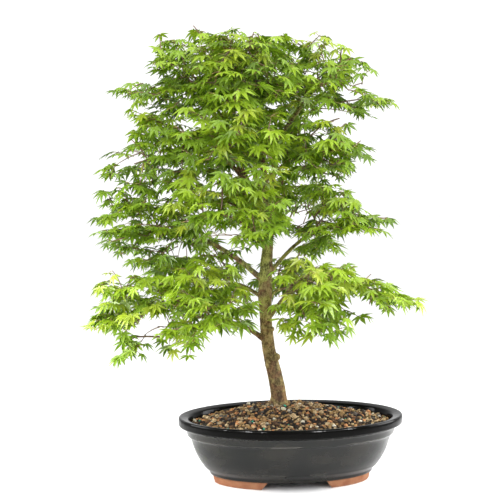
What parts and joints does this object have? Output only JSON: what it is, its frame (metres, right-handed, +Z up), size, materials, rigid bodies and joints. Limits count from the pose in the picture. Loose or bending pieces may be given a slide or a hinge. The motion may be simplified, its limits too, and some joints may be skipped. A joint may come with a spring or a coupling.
{
  "type": "japanese maple bonsai in a pot",
  "caption": "Japanese maple bonsai with a layered, drooping green crown over a slender trunk, in an oval dark glazed pot on bare clay feet.",
  "frame": {"origin": "centre of the bounding box, at the height of the feet's undersides", "axes": "+Z up along the trunk, +X to the viewer's right along the pot's length, -Y towards the viewer in front"},
  "size_m": [0.6668, 0.4764, 0.9192],
  "materials": {
    "glaze": "gloss",
    "clay": "matte",
    "soil": "matte",
    "bark": "matte",
    "leaves": "satin"
  },
  "bodies": {
    "root": {"pot": "glaze", "foot_front_left": "clay", "foot_front_right": "clay", "foot_back_left": "clay", "foot_back_right": "clay", "soil": "soil", "trunk": "bark", "bough_low_left": "bark", "bough_low_left_front": "bark", "bough_low_left_back": "bark", "bough_low_right": "bark", "bough_low_right_front": "bark", "bough_low_right_back": "bark", "bough_mid_left": "bark", "bough_mid_front": "bark", "bough_mid_right": "bark", "bough_mid_back": "bark", "bough_high_left": "bark", "bough_high_front": "bark", "bough_high_right": "bark", "bough_high_back": "bark", "bough_top_left": "bark", "bough_top_front": "bark", "bough_top_right": "bark", "bough_top_back": "bark", "foliage_low_left": "leaves", "foliage_low_left_front": "leaves", "foliage_low_left_back": "leaves", "foliage_low_right": "leaves", "foliage_low_right_front": "leaves", "foliage_low_right_back": "leaves", "foliage_mid_left": "leaves", "foliage_mid_front": "leaves", "foliage_mid_right": "leaves", "foliage_mid_back": "leaves", "foliage_high_left": "leaves", "foliage_high_front": "leaves", "foliage_high_right": "leaves", "foliage_high_back": "leaves", "foliage_top_left": "leaves", "foliage_top_front": "leaves", "foliage_top_right": "leaves", "foliage_top_back": "leaves"}
  },
  "joints": []
}
